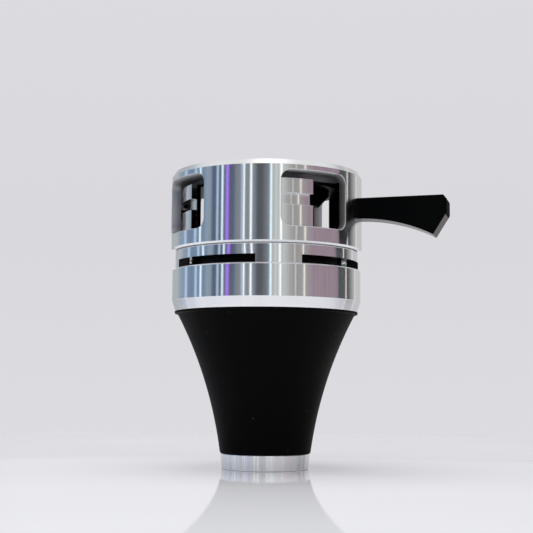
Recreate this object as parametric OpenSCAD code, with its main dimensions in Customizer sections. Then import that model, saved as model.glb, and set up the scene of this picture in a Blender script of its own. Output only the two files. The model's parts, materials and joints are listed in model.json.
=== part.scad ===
// Hand-turned grinder for glass frit: a windowed head turns on a castellated drum,
// drives a conical burr, and drops the ground glass through a flared grip and an open foot.

/* [Overall] */
// Height of the whole grinder
total_h = 121.5; // [118:0.5:124]
// Outer radius of the turning shell
shell_r = 40; // [39.5:0.1:41]

/* [Shell] */
// Height of the shell's lower edge
shell_z = 89.05; // [89.05:0.05:89.4]
// Height of the ceiling inside the shell
ceiling_z = 115.3; // [115:0.1:115.6]
// Radial size of the chamfer round the top edge
top_chamfer_r = 1.1; // [0.6:0.1:1.4]
// Height of the chamfer round the top edge
top_chamfer_h = 2.1; // [1.5:0.1:2.3]
// Chamfer round the lower edge
rim_chamfer = 0.7; // [0.3:0.1:0.9]
// Radial play between the shell and the drum
shell_play = 0.3; // [0.25:0.05:0.4]

/* [Shell windows] */
// Number of windows round the shell
window_n = 4; // [4:1:4]
// Width of a window, square to its middle
window_w = 29.5; // [26:0.5:31]
// Height of a window's sill
window_z = 95.5; // [95.2:0.1:97]
// Height of a window
window_h = 21.8; // [19:0.2:22]
// Corner radius of a window
window_corner_r = 3.7; // [2.5:0.1:5]
// Edge break round a window
window_break = 0.8; // [0.4:0.1:1]

/* [Drum] */
// Outer radius of the drum's prongs
drum_r = 35.5; // [35.3:0.1:35.6]
// Wall thickness of the prongs
drum_wall = 4.1; // [3.8:0.1:4.3]
// Width of the gap between two prongs, in degrees
drum_gap_deg = 43; // [36:1:46]
// Outer radius of the drum's foot flange
flange_r = 38.2; // [37.8:0.1:38.6]
// Height of the flange's top
flange_z = 88.8; // [88.6:0.05:88.8]
// Middle height of the retaining groove
groove_z = 106.7; // [106.2:0.1:107]
// Width of the retaining groove
groove_w = 4.4; // [4.2:0.1:4.6]
// Depth of the retaining groove
groove_d = 2.4; // [2.2:0.1:2.6]
// Width of a slot in the flange, in degrees
slot_deg = 62.5; // [50:0.5:64]
// Height of a slot in the flange
slot_h = 3.4; // [2.5:0.1:4]

/* [Collar] */
// Outer radius of the collar
collar_r = 39.4; // [39:0.1:39.8]
// Height of the collar's top face
collar_top_z = 81.2; // [81:0.1:81.4]
// Height where the collar's lower chamfer starts
collar_edge_z = 68.1; // [67:0.1:69]
// Height of the collar's lower face
collar_z = 64.1; // [64.1:0.1:64.1]

/* [Grip] */
// Radius of the grip just under its top lip
grip_top_r = 37.3; // [37:0.1:37.5]
// Radius of the grip at its lower end
grip_foot_r = 18.65; // [18.6:0.05:18.8]
// Radius of the hollow curve down the grip's side
grip_arc_r = 170; // [150:1:200]
// Radius of the lip at the top of the grip
grip_lip_r = 38; // [37.7:0.1:38]
// Thickness of the rubber
rubber_t = 2.5; // [2:0.1:2.6]
// Thickness of the liner inside the rubber
liner_t = 1.5; // [1.3:0.1:1.6]

/* [Foot] */
// Height of the foot ring
foot_h = 6.4; // [6:0.1:6.6]
// Outer radius of the foot ring at its top
foot_r = 18.4; // [18:0.1:18.6]
// Outer radius of the foot ring on the table
foot_base_r = 17.9; // [17.5:0.1:18.2]
// Radius of the outlet bore
outlet_r = 14.2; // [13.8:0.1:14.3]
// Length of the outlet bore
outlet_len = 12.4; // [11:0.1:12.4]

/* [Handle] */
// Reach of the handle from the axis
handle_reach = 75.7; // [70:0.1:80]
// Width of the handle at the shell
handle_root_w = 9.6; // [8:0.1:11]
// Width of the handle at its far end
handle_tip_w = 13; // [11:0.1:15]
// Height of the handle's flat top
handle_top_z = 110.2; // [109.5:0.1:111.5]
// Height of the handle's underside at the shell
handle_under_z = 101.7; // [100.8:0.1:101.8]
// Height of the lowest corner at the far end
handle_low_z = 94.3; // [92:0.1:96]
// Radius of the hollow curve along the handle's underside
handle_arc_r = 68; // [60:1:90]

/* [Burrs] */
// Largest radius of the inner burr
burr_r = 19; // [18.8:0.1:19]
// Radius of the outer burr's bore at its lower edge
burr_bore_r = 19.4; // [19.3:0.05:19.6]
// Number of main flutes on the inner burr
flute_n = 8; // [6:1:10]
// Number of grooves in the outer burr
outer_flute_n = 14; // [10:1:18]

/* [Shaft and bearing] */
// Radius of the drive shaft
shaft_r = 4; // [4:0.1:4]
// Outer radius of the bearing
bearing_r = 11; // [11:0.5:11]
// Width of the bearing
bearing_w = 7; // [7:0.5:7]
// Radius of the circle that the balls run on
ball_circle_r = 7.5; // [7.5:0.1:7.5]
// Radius of a ball
ball_r = 1.98; // [1.9:0.01:1.98]
// Number of balls
ball_n = 7; // [6:1:8]

/* [Hidden] */
$fn = 96;

eps = 0.01;        // overshoot that keeps a cut clear of a face
quarter = 90;      // the head and the drum repeat every quarter turn
metal = [0.80, 0.81, 0.83];
bright = [0.90, 0.90, 0.91];
steel = [0.55, 0.56, 0.58];
black = [0.05, 0.05, 0.055];

// angles from +X, where the handle points
window_at = quarter / 2;
gap_at = -22.5;
prong_at = gap_at - quarter / 2;
screw_angles = [for (i = [0:3]) prong_at + i * quarter];

// radii of the threads and heads of the screws
m2_r = 1;
m25_r = 1.25;
m3_r = 1.5;
m2_head_r = 1.35;
m25_head_r = 2.2;
m3_head_r = 2.9;

// shell and drum
shell_bore_r = drum_r + shell_play;
drum_bore_r = drum_r - drum_wall;
prong_top_z = ceiling_z - 0.3;
prong_z = 95;
window_mid_z = window_z + window_h / 2;
window_floor_r = shell_bore_r - 1;
window_half_deg = asin(window_w / 2 / shell_r);
corner_deg = asin((window_w / 2 - window_corner_r) / shell_r);
flange_bore_r = 33.5;
drum_screw_r = 35.3;
drum_screw_z = collar_z + 11;
head_play = 0.1;

// cover and shaft fixing
cover_z = 118.9;
cover_r = 32.8;
cover_t = 2.2;
cover_hole_r = 9.2;
cover_screw_r = 24;
washer_r = 8.4;
washer_z = 117.3;
washer_t = 1.2;
shaft_screw_r = 2.5;
shaft_screw_len = 9;
shaft_head_r = 4.75;
shoulder_r = 6;
shoulder_z = 104;
shaft_end_z = 50;
spigot_flat = 3;

// retaining stud and screws
tip_r = 1.9;
tip_end = 33.4;
tip_root = 36.1;
stud_r = 3;
stud_end = 60;
grub_r = 2.5;
grub_end = 39.4;

// burrs
burr_z = 66;
burr_top_z = 81;
burr_hub_z = 84;
burr_hub_r = 7.5;
running_r = shaft_r + 0.05;
outer_burr_r = 25;
outer_burr_z = 66.5;
outer_burr_top_z = 80.5;
outer_flange_r = 30;
outer_flange_z = 78.5;
burr_screw_r = 27.6;
drive_pin_r = 1.5;
drive_pin_z = 82.2;
drive_pin_len = 13;
drive_slot_w = 3.7;
drive_slot_z = 80;

// adjusting nut
nut_z = 61.8;
nut_r = 13;
nut_flange_t = 2.2;
nut_hub_r = 8;
nut_top_z = 65.15;
nut_notch_n = 24;
thrust_t = 0.75;

// lower bearing and its spider
bearing_z = 53;
spider_hub_r = 13.6;
spider_z = 52.2;
spider_top_z = 60.4;
spider_arm_z = 56;
spider_ring_r = 24.4;
spider_rim_r = 26.6;
spider_rim_z = 57.4;
spider_ear_r = 28.5;
spider_ear_z = 62.4;
spider_arm_w = 5;
spider_arm_deg = 90;
spider_screw_r = 26.4;
spider_screw_deg = 30;
spider_head_r = 2;
race_inner_r = 5.9;
race_outer_r = 9.1;
race_gap = 0.03;
ball_z = bearing_z + bearing_w / 2;

// grip: the side is an arc through its two ends
grip_z = foot_h;
grip_dr = grip_top_r - grip_foot_r;
grip_dz = collar_z - grip_z;
grip_chord = sqrt(grip_dr * grip_dr + grip_dz * grip_dz);
grip_sag = sqrt(grip_arc_r * grip_arc_r - grip_chord * grip_chord / 4);
grip_cr = (grip_top_r + grip_foot_r) / 2 + grip_sag * grip_dz / grip_chord;
grip_cz = (collar_z + grip_z) / 2 - grip_sag * grip_dr / grip_chord;
grip_lip_h = 1.1;
sleeve_r = 15.3;
liner_flange_t = 1.5;
liner_flange_r = 28.7;
funnel_screw_r = 30.1;
funnel_screw_n = 6;
funnel_head_h = 0.8;

// handle: its underside is an arc from the shell to the low corner
handle_root = shell_r - 1.5;
handle_low_r = handle_reach - 5.5;
handle_low_h = 8.8;
handle_tip_cut_r = 1.3;
handle_tip_cut_h = 1.7;
handle_dr = handle_low_r - shell_r;
handle_dz = handle_low_z - handle_under_z;
handle_chord = sqrt(handle_dr * handle_dr + handle_dz * handle_dz);
handle_sag = sqrt(handle_arc_r * handle_arc_r - handle_chord * handle_chord / 4);
handle_cr = (shell_r + handle_low_r) / 2 + handle_sag * handle_dz / handle_chord;
handle_cz = (handle_under_z + handle_low_z) / 2 - handle_sag * handle_dr / handle_chord;

// sweeper
sweeper_r = 26;
sweeper_z = 108;
sweeper_hub_z = 106;
sweeper_top_z = ceiling_z - 0.1;
sweeper_hub_r = 9.5;
sweeper_w = 6;
sweeper_disc_r = 30.9;
sweeper_disc_t = 1;
sweeper_pin_r = 1.25;
sweeper_pin_z = 106.5;

// spring
spring_wire_r = 0.55;
spring_r = 5.4;
spring_turns = 7;
spring_sides = 8;
spring_steps = 12;

// a tube of revolution between two radii
module ring(r_in, r_out, z0, z1) {
  difference() {
    translate([0, 0, z0]) cylinder(r = r_out, h = z1 - z0);
    translate([0, 0, z0 - 1]) cylinder(r = r_in, h = z1 - z0 + 2);
  }
}

// a sector of a ring, centred on an angle
module sector(r_in, r_out, z0, z1, at, wide) {
  rotate([0, 0, at - wide / 2])
    rotate_extrude(angle = wide)
      translate([r_in, z0]) square([r_out - r_in, z1 - z0]);
}

// a rounded rectangle pushed outwards along +X
module window_prism(w, h, r, from_x, to_x) {
  translate([from_x, 0, window_mid_z]) rotate([90, 0, 90])
    linear_extrude(to_x - from_x) {
      square([w - 2 * r, h], center = true);
      square([w, h - 2 * r], center = true);
      for (sx = [-1, 1], sy = [-1, 1])
        translate([sx * (w / 2 - r), sy * (h / 2 - r)]) circle(r = r);
    }
}

// cuts the edge break round a window that faces +X
module window_edge_break() {
  side_h = window_h - 2 * window_corner_r;
  side_x = shell_r * cos(window_half_deg);
  bisector = 135 + window_half_deg / 2;
  depth = window_break * cos(45 - window_half_deg / 2);
  for (s = [-1, 1]) {
    // the straight sides
    translate([side_x, s * window_w / 2, window_mid_z]) rotate([0, 0, s * bisector])
      translate([depth - 5, -4, -side_h / 2]) cube([5, 8, side_h]);
    // the sill and the top
    rotate([0, 0, -corner_deg]) rotate_extrude(angle = 2 * corner_deg)
      translate([shell_r, window_mid_z + s * window_h / 2])
        polygon([[-window_break, 0], [1, 0], [1, s * (window_break + 1)]]);
    // the corners
    for (t = [-1, 1])
      rotate([0, 0, s * corner_deg])
        translate([shell_r - window_break, 0,
                   window_mid_z + t * (window_h / 2 - window_corner_r)])
          rotate([0, 90, 0])
            cylinder(r1 = window_corner_r, r2 = window_corner_r + window_break + 1,
                     h = window_break + 1);
  }
}

// a countersunk screw pointing down, its head's face at z
module countersunk_screw(r, head_r, len, socket_r) {
  difference() {
    union() {
      translate([0, 0, -len]) cylinder(r = r, h = len);
      translate([0, 0, -(head_r - r)]) cylinder(r1 = r, r2 = head_r, h = head_r - r);
    }
    translate([0, 0, -(head_r - r) * 0.8]) cylinder(r = socket_r, h = 5, $fn = 6);
  }
}

// the hole that a countersunk screw sits in
module countersunk_hole(r, head_r, len) {
  translate([0, 0, -len]) cylinder(r = r, h = len + 1);
  translate([0, 0, -(head_r - r)]) cylinder(r1 = r, r2 = head_r, h = head_r - r);
  cylinder(r = head_r, h = 3);
}

// a cap screw pointing up, the underside of its head at z = 0
module cap_screw_up(r, head_r, head_h, len) {
  difference() {
    union() {
      cylinder(r = r, h = len);
      translate([0, 0, -head_h]) cylinder(r = head_r, h = head_h);
    }
    translate([0, 0, -head_h - 1]) cylinder(r = head_r * 0.5, h = head_h * 0.55 + 1, $fn = 6);
  }
}

// everything inside the grip's curve, drawn from its lower to its upper end
module grip_side(inset) {
  difference() {
    translate([0, grip_z]) square([grip_lip_r + 4, collar_z - grip_z]);
    translate([grip_cr, grip_cz]) circle(r = grip_arc_r + inset, $fn = 360);
  }
}

module drum() {
  color(metal)
    difference() {
      rotate_extrude()
        polygon([
          [flange_bore_r, collar_top_z], [flange_r, collar_top_z],
          [flange_r, flange_z - 0.3], [flange_r - 0.3, flange_z],
          [37.9, flange_z], [37.9, flange_z - 0.8], [36.1, flange_z - 0.8],
          [36.1, flange_z], [drum_r, flange_z],
          [drum_r, prong_top_z - 0.3], [drum_r - 0.3, prong_top_z],
          [drum_bore_r, prong_top_z], [drum_bore_r, flange_z - 1.5],
          [flange_bore_r, flange_z - 3.5]
        ]);
      for (i = [0:3]) {
        sector(drum_bore_r - 1, drum_r + 1, prong_z, ceiling_z + 1,
               gap_at + i * quarter, drum_gap_deg);
        sector(flange_bore_r - 1, flange_r + 1, collar_top_z - 1, collar_top_z + slot_h,
               gap_at + i * quarter, slot_deg);
      }
      ring(drum_r - groove_d, drum_r + 1, groove_z - groove_w / 2, groove_z + groove_w / 2);
      for (a = screw_angles)
        rotate([0, 0, a]) translate([drum_screw_r, 0, collar_top_z - 1])
          cylinder(r = m25_r, h = 6);
    }
}

module collar() {
  color(bright)
    difference() {
      rotate_extrude()
        polygon([
          [outer_burr_r, collar_z], [grip_lip_r, collar_z],
          [collar_r - 0.1, collar_edge_z], [collar_r, collar_edge_z + 0.1],
          [collar_r, collar_top_z - 0.5], [collar_r - 0.5, collar_top_z],
          [outer_flange_r, collar_top_z], [outer_flange_r, outer_flange_z],
          [outer_burr_r, outer_flange_z]
        ]);
      for (a = screw_angles)
        rotate([0, 0, a]) translate([drum_screw_r, 0, 0]) {
          translate([0, 0, collar_z - 1])
            cylinder(r = m25_head_r + head_play, h = drum_screw_z - collar_z + 1);
          translate([0, 0, collar_z]) cylinder(r = m25_r, h = 20);
        }
      for (i = [0:2])
        rotate([0, 0, i * 120]) translate([burr_screw_r, 0, outer_flange_z - 5])
          cylinder(r = m25_r, h = 6);
      for (i = [0:2])
        rotate([0, 0, spider_screw_deg + i * 120]) translate([spider_screw_r, 0, collar_z - 1])
          cylinder(r = m25_r, h = 7);
      for (i = [0:funnel_screw_n - 1])
        rotate([0, 0, i * 360 / funnel_screw_n]) translate([funnel_screw_r, 0, collar_z - 1])
          cylinder(r = m2_r, h = 6);
    }
}

module rubber_grip() {
  color(black)
    rotate_extrude()
      difference() {
        union() {
          grip_side(0);
          polygon([
            [grip_top_r - 1, collar_z - grip_lip_h], [grip_top_r - 0.4, collar_z - grip_lip_h],
            [grip_lip_r, collar_z - 0.3], [grip_lip_r, collar_z], [grip_top_r - 1, collar_z]
          ]);
        }
        grip_side(rubber_t);
      }
}

module foot_ring() {
  color(bright)
    rotate_extrude()
      polygon([
        [outlet_r, 0], [foot_base_r - 0.4, 0], [foot_base_r, 0.4],
        [foot_r, foot_h - 0.3], [foot_r - 0.3, foot_h], [sleeve_r, foot_h],
        [sleeve_r, outlet_len], [outlet_r, outlet_len]
      ]);
}

module hopper() {
  throat_r = 20.4;
  rim_r = drum_bore_r - 0.1;
  wall = 1.8;
  skirt_t = 1.1;
  color(black)
    rotate_extrude() {
      polygon([
        [throat_r, outer_burr_top_z], [throat_r + 2.4, outer_burr_top_z],
        [throat_r + 2.4, outer_burr_top_z + 1.6], [rim_r, flange_z + 1],
        [rim_r, prong_z - 0.2], [rim_r - wall, prong_z - 0.2],
        [rim_r - wall, flange_z + 1.9], [throat_r, outer_burr_top_z + 2]
      ]);
      // skirt that closes the drum's slots on the inside
      translate([rim_r - skirt_t, collar_top_z]) square([skirt_t, flange_z + 2 - collar_top_z]);
    }
}

module funnel_liner() {
  color(steel)
    difference() {
      rotate_extrude()
        difference() {
          union() {
            difference() {
              grip_side(rubber_t);
              grip_side(rubber_t + liner_t);
            }
            intersection() {
              grip_side(rubber_t);
              translate([liner_flange_r, collar_z - liner_flange_t])
                square([8, liner_flange_t]);
            }
          }
          square([sleeve_r, outlet_len]);
        }
      for (i = [0:funnel_screw_n - 1])
        rotate([0, 0, i * 360 / funnel_screw_n]) translate([funnel_screw_r, 0, collar_z - 4])
          cylinder(r = m2_r, h = 6);
    }
}

module funnel_screws() {
  color(steel)
    for (i = [0:funnel_screw_n - 1])
      rotate([0, 0, i * 360 / funnel_screw_n])
        translate([funnel_screw_r, 0, collar_z - liner_flange_t])
          cap_screw_up(m2_r, m2_head_r, funnel_head_h, 5.5);
}

module drum_screws() {
  color(steel)
    for (a = screw_angles)
      rotate([0, 0, a]) translate([drum_screw_r, 0, drum_screw_z])
        cap_screw_up(m25_r, m25_head_r, 2.5, 10);
}

module outer_burr() {
  mouth_r = 20;
  waist_r = 16.8;
  waist_z = 75;
  groove_w = 1.6;
  groove_lean = 24;
  color(steel)
    difference() {
      rotate_extrude()
        polygon([
          [burr_bore_r, outer_burr_z], [outer_burr_r, outer_burr_z],
          [outer_burr_r, outer_flange_z], [outer_flange_r, outer_flange_z],
          [outer_flange_r, outer_burr_top_z], [mouth_r, outer_burr_top_z],
          [waist_r, waist_z]
        ]);
      for (i = [0:outer_flute_n - 1])
        rotate([0, 0, i * 360 / outer_flute_n]) translate([waist_r, 0, waist_z])
          rotate([groove_lean, 0, 0]) translate([-3, -groove_w / 2, -9])
            cube([4.6, groove_w, 20]);
      for (i = [0:2])
        rotate([0, 0, i * 120]) translate([burr_screw_r, 0, outer_burr_top_z])
          countersunk_hole(m25_r, m25_head_r, 4);
    }
}

module burr_screws() {
  color(steel)
    for (i = [0:2])
      rotate([0, 0, i * 120]) translate([burr_screw_r, 0, outer_burr_top_z])
        countersunk_screw(m25_r, m25_head_r, 6.5, 1);
}

module bearing_spider() {
  color(metal)
    difference() {
      union() {
        ring(spider_ring_r, spider_rim_r, spider_rim_z, collar_z);
        ring(spider_ring_r, spider_ear_r, spider_ear_z, collar_z);
        translate([0, 0, spider_z]) cylinder(r = spider_hub_r, h = spider_top_z - spider_z);
        for (i = [0:2])
          rotate([0, 0, spider_arm_deg + i * 120])
            translate([spider_hub_r - 1.5, -spider_arm_w / 2, spider_arm_z])
              cube([spider_ring_r - spider_hub_r + 2.5, spider_arm_w,
                    spider_top_z - spider_arm_z]);
      }
      translate([0, 0, bearing_z]) cylinder(r = bearing_r, h = 20);
      translate([0, 0, spider_z - 1]) cylinder(r = bearing_r - 1.5, h = 20);
      for (i = [0:2])
        rotate([0, 0, spider_screw_deg + i * 120]) translate([spider_screw_r, 0, 0]) {
          translate([0, 0, spider_rim_z - 1])
            cylinder(r = spider_head_r + head_play, h = spider_ear_z - spider_rim_z + 1);
          translate([0, 0, spider_rim_z - 1]) cylinder(r = m25_r, h = 12);
        }
    }
}

module spider_screws() {
  color(steel)
    for (i = [0:2])
      rotate([0, 0, spider_screw_deg + i * 120])
        translate([spider_screw_r, 0, spider_ear_z]) cap_screw_up(m25_r, spider_head_r, 2, 7);
}

module bearing_outer_race() {
  color(steel)
    difference() {
      ring(race_outer_r, bearing_r, bearing_z, bearing_z + bearing_w);
      translate([0, 0, ball_z]) rotate_extrude()
        translate([ball_circle_r, 0]) circle(r = ball_r + race_gap);
    }
}

module bearing_inner_race() {
  color(steel)
    difference() {
      ring(shaft_r, race_inner_r, bearing_z, bearing_z + bearing_w);
      translate([0, 0, ball_z]) rotate_extrude()
        translate([ball_circle_r, 0]) circle(r = ball_r + race_gap);
    }
}

module bearing_balls() {
  color(bright)
    for (i = [0:ball_n - 1])
      rotate([0, 0, i * 360 / ball_n]) translate([ball_circle_r, 0, ball_z])
        sphere(r = ball_r);
}

module bearing_cage() {
  color([0.75, 0.62, 0.32])
    difference() {
      ring(ball_circle_r - 1, ball_circle_r + 1, ball_z - 0.8, ball_z + 2.4);
      for (i = [0:ball_n - 1])
        rotate([0, 0, i * 360 / ball_n]) translate([ball_circle_r, 0, ball_z])
          sphere(r = ball_r);
    }
}

module glide_ring() {
  color("white") ring(36.2, 37.8, flange_z - 0.8, flange_z + 0.15);
}

module turning_shell() {
  color(metal)
    difference() {
      rotate_extrude()
        polygon([
          [0, ceiling_z], [shell_bore_r, ceiling_z],
          [shell_bore_r, shell_z + 0.4], [shell_bore_r + 0.4, shell_z],
          [shell_r - rim_chamfer, shell_z], [shell_r, shell_z + rim_chamfer],
          [shell_r, total_h - top_chamfer_h], [shell_r - top_chamfer_r, total_h],
          [cover_r + 0.1, total_h], [cover_r + 0.1, cover_z], [0, cover_z]
        ]);
      for (i = [0:window_n - 1])
        rotate([0, 0, window_at + i * quarter]) {
          window_prism(window_w, window_h, window_corner_r, 30, 45);
          window_edge_break();
        }
      // seat of the shaft's spigot and its washer
      difference() {
        translate([0, 0, ceiling_z - 1]) cylinder(r = shaft_r, h = 5);
        translate([spigot_flat, -5, ceiling_z - 1]) cube([5, 10, 5]);
      }
      translate([0, 0, washer_z]) cylinder(r = washer_r + 0.1, h = 5);
      // threads of the handle's stud and the two retaining screws
      for (a = [0, quarter, 2 * quarter])
        rotate([0, 0, a]) translate([shell_bore_r - 2, 0, groove_z]) rotate([0, 90, 0])
          cylinder(r = a == 0 ? stud_r : grub_r, h = 8);
      for (i = [0:3])
        rotate([0, 0, window_at + i * quarter]) translate([cover_screw_r, 0, ceiling_z - 1])
          cylinder(r = m3_r, h = 6);
    }
}

module cover_plate() {
  color(metal)
    difference() {
      rotate_extrude()
        polygon([
          [cover_hole_r, cover_z], [cover_r, cover_z],
          [cover_r, cover_z + cover_t - 0.4], [cover_r - 0.4, cover_z + cover_t],
          [cover_hole_r + 0.6, cover_z + cover_t], [cover_hole_r, cover_z + cover_t - 0.6]
        ]);
      for (i = [0:3])
        rotate([0, 0, window_at + i * quarter])
          translate([cover_screw_r, 0, cover_z + cover_t]) countersunk_hole(m3_r, m3_head_r, 3);
    }
}

module cover_screws() {
  color(steel)
    for (i = [0:3])
      rotate([0, 0, window_at + i * quarter])
        translate([cover_screw_r, 0, cover_z + cover_t])
          countersunk_screw(m3_r, m3_head_r, 5.5, 1.1);
}

module handle_grip() {
  taper = (handle_tip_w - handle_root_w) / 2;
  color(black)
    difference() {
      intersection() {
        // side view
        translate([0, 20, 0]) rotate([90, 0, 0]) linear_extrude(40)
          difference() {
            polygon([
              [handle_root, handle_under_z], [handle_root, handle_top_z],
              [handle_reach - handle_tip_cut_r, handle_top_z],
              [handle_reach, handle_top_z - handle_tip_cut_h],
              [handle_reach, handle_low_z + handle_low_h], [handle_low_r, handle_low_z],
              [handle_low_r - 3, handle_low_z - 8], [shell_r, handle_low_z - 8],
              [shell_r, handle_under_z]
            ]);
            translate([handle_cr, handle_cz]) circle(r = handle_arc_r, $fn = 360);
          }
        // plan view
        translate([0, 0, handle_low_z - 1]) linear_extrude(30)
          polygon([
            [handle_root, -handle_root_w / 2], [handle_reach, -handle_root_w / 2 - taper],
            [handle_reach, handle_root_w / 2 + taper], [handle_root, handle_root_w / 2]
          ]);
      }
      // saddle that fits the shell
      translate([0, 0, handle_low_z - 12]) cylinder(r = shell_r + 0.02, h = 40);
      translate([handle_root - 2, 0, groove_z]) rotate([0, 90, 0])
        cylinder(r = stud_r, h = stud_end - handle_root + 2.5);
    }
}

module handle_stud() {
  color(steel)
    translate([0, 0, groove_z]) rotate([0, 90, 0]) {
      translate([0, 0, tip_end]) cylinder(r = tip_r, h = tip_root - tip_end + eps);
      translate([0, 0, tip_root]) cylinder(r = stud_r, h = stud_end - tip_root);
    }
}

module retaining_screws() {
  color(steel)
    for (a = [quarter, 2 * quarter])
      rotate([0, 0, a]) translate([0, 0, groove_z]) rotate([0, 90, 0])
        difference() {
          union() {
            translate([0, 0, tip_end]) cylinder(r = tip_r, h = tip_root - tip_end + eps);
            translate([0, 0, tip_root]) cylinder(r = grub_r, h = grub_end - tip_root);
          }
          translate([0, 0, grub_end - 2]) cylinder(r = 1.4, h = 3, $fn = 6);
        }
}

module drive_shaft() {
  color(steel)
    difference() {
      union() {
        translate([0, 0, shaft_end_z]) cylinder(r = shaft_r, h = shoulder_z - shaft_end_z + eps);
        translate([0, 0, shoulder_z]) cylinder(r = shoulder_r, h = ceiling_z - shoulder_z);
        difference() {
          translate([0, 0, ceiling_z - eps]) cylinder(r = shaft_r, h = washer_z - ceiling_z - 0.1);
          translate([spigot_flat, -5, ceiling_z]) cube([5, 10, 5]);
        }
      }
      // tapped hole for the fixing screw
      translate([0, 0, washer_z - shaft_screw_len - 0.3])
        cylinder(r = shaft_screw_r, h = shaft_screw_len + 2);
      // holes of the sweeper's pin and the burr's drive pin
      translate([0, 0, sweeper_pin_z]) rotate([90, 0, 0])
        cylinder(r = sweeper_pin_r, h = 30, center = true);
      translate([0, 0, drive_pin_z]) rotate([0, 90, 0])
        cylinder(r = drive_pin_r, h = 30, center = true);
      // groove of the retaining clip
      ring(shaft_r - 0.5, shaft_r + 1, bearing_z - 0.9, bearing_z - 0.1);
    }
}

module shaft_screw() {
  color(steel)
    difference() {
      union() {
        translate([0, 0, washer_z - shaft_screw_len])
          cylinder(r = shaft_screw_r, h = shaft_screw_len + washer_t + eps);
        translate([0, 0, washer_z + washer_t])
          cylinder(r1 = shaft_head_r, r2 = shaft_head_r - 1.15, h = 2.3);
      }
      translate([0, 0, washer_z + washer_t + 0.8]) cylinder(r = 1.7, h = 3, $fn = 6);
    }
}

module shaft_washer() {
  color(steel) ring(shaft_screw_r, washer_r, washer_z, washer_z + washer_t);
}

module sweeper() {
  color(black)
    difference() {
      union() {
        translate([0, 0, sweeper_hub_z - 2])
          cylinder(r1 = sweeper_hub_r - 2, r2 = sweeper_hub_r, h = 2 + eps);
        translate([0, 0, sweeper_hub_z])
          cylinder(r = sweeper_hub_r, h = sweeper_top_z - sweeper_hub_z);
        translate([0, 0, sweeper_top_z - sweeper_disc_t])
          cylinder(r = sweeper_disc_r, h = sweeper_disc_t);
        // four arms under the disc, each with a bevelled end
        for (i = [0:3])
          rotate([0, 0, i * quarter]) translate([0, sweeper_w / 2, 0]) rotate([90, 0, 0])
            linear_extrude(sweeper_w)
              polygon([
                [5, sweeper_z], [sweeper_r - 4.5, sweeper_z], [sweeper_r, sweeper_z + 4.5],
                [sweeper_r, sweeper_top_z - sweeper_disc_t + eps],
                [5, sweeper_top_z - sweeper_disc_t + eps]
              ]);
      }
      translate([0, 0, sweeper_hub_z - 3]) cylinder(r = shoulder_r, h = 20);
      translate([0, 0, sweeper_pin_z]) rotate([90, 0, 0])
        cylinder(r = sweeper_pin_r, h = 30, center = true);
    }
}

module sweeper_pin() {
  color(steel)
    translate([0, 0, sweeper_pin_z]) rotate([90, 0, 0])
      cylinder(r = sweeper_pin_r, h = 2 * sweeper_hub_r - 2, center = true);
}

module retaining_clip() {
  color(steel)
    difference() {
      ring(shaft_r - 0.5, shaft_r + 2, bearing_z - 0.9, bearing_z - 0.1);
      translate([0, -1.5, bearing_z - 2]) cube([10, 3, 4]);
    }
}

module burr_drive_pin() {
  color(steel)
    translate([0, 0, drive_pin_z]) rotate([0, 90, 0])
      cylinder(r = drive_pin_r, h = drive_pin_len, center = true);
}

// one point of the spring: turn t (0 to 1 along the wire), side a
function spring_point(t, a) =
  let (turn = 360 * spring_turns * t,
       low = burr_hub_z + spring_wire_r + 0.05,
       high = shoulder_z - spring_wire_r - 0.05,
       r = spring_r + spring_wire_r * cos(a))
  [r * cos(turn), r * sin(turn), low + (high - low) * t + spring_wire_r * sin(a)];

module burr_spring() {
  rings = spring_turns * spring_steps;
  points = [for (i = [0:rings], j = [0:spring_sides - 1])
    spring_point(i / rings, j * 360 / spring_sides)];
  sides = [for (i = [0:rings - 1], j = [0:spring_sides - 1])
    let (k = (j + 1) % spring_sides, a = i * spring_sides, b = a + spring_sides)
    [a + j, b + j, b + k, a + k]];
  first = [for (j = [0:spring_sides - 1]) j];
  last = [for (j = [spring_sides - 1:-1:0]) rings * spring_sides + j];
  color(steel) polyhedron(points, concat(sides, [first], [last]));
}

module inner_burr() {
  waist_r = 14;
  waist_z = 72;
  flute_w = 2.2;
  flute_lean = 28;
  flute_tilt = -38;
  color(steel)
    difference() {
      rotate_extrude()
        polygon([
          [running_r, burr_z], [burr_r, burr_z], [burr_r, burr_z + 0.5],
          [waist_r, waist_z], [burr_hub_r + 1, burr_top_z], [burr_hub_r, burr_top_z],
          [burr_hub_r, burr_hub_z], [running_r, burr_hub_z]
        ]);
      // main flutes, leaning along the cone
      for (i = [0:flute_n - 1])
        rotate([0, 0, i * 360 / flute_n]) translate([waist_r + 0.2, 0, waist_z + 1])
          rotate([flute_lean, flute_tilt, 0]) translate([-1.6, -flute_w / 2, -9])
            cube([4, flute_w, 18]);
      // slot for the drive pin
      translate([-10, -drive_slot_w / 2, drive_slot_z]) cube([20, drive_slot_w, 5]);
    }
}

module thrust_washer() {
  color([0.75, 0.62, 0.32]) ring(running_r, nut_hub_r, burr_z - thrust_t, burr_z);
}

module adjusting_nut() {
  color([0.75, 0.62, 0.32])
    difference() {
      union() {
        translate([0, 0, nut_z]) cylinder(r = nut_r, h = nut_flange_t);
        translate([0, 0, nut_z]) cylinder(r = nut_hub_r, h = nut_top_z - nut_z);
      }
      translate([0, 0, nut_z - 1]) cylinder(r = running_r, h = 10);
      for (i = [0:nut_notch_n - 1])
        rotate([0, 0, i * 360 / nut_notch_n]) translate([nut_r, 0, nut_z - 1])
          cylinder(r = 0.8, h = nut_flange_t + 2, $fn = 16);
    }
}

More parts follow.
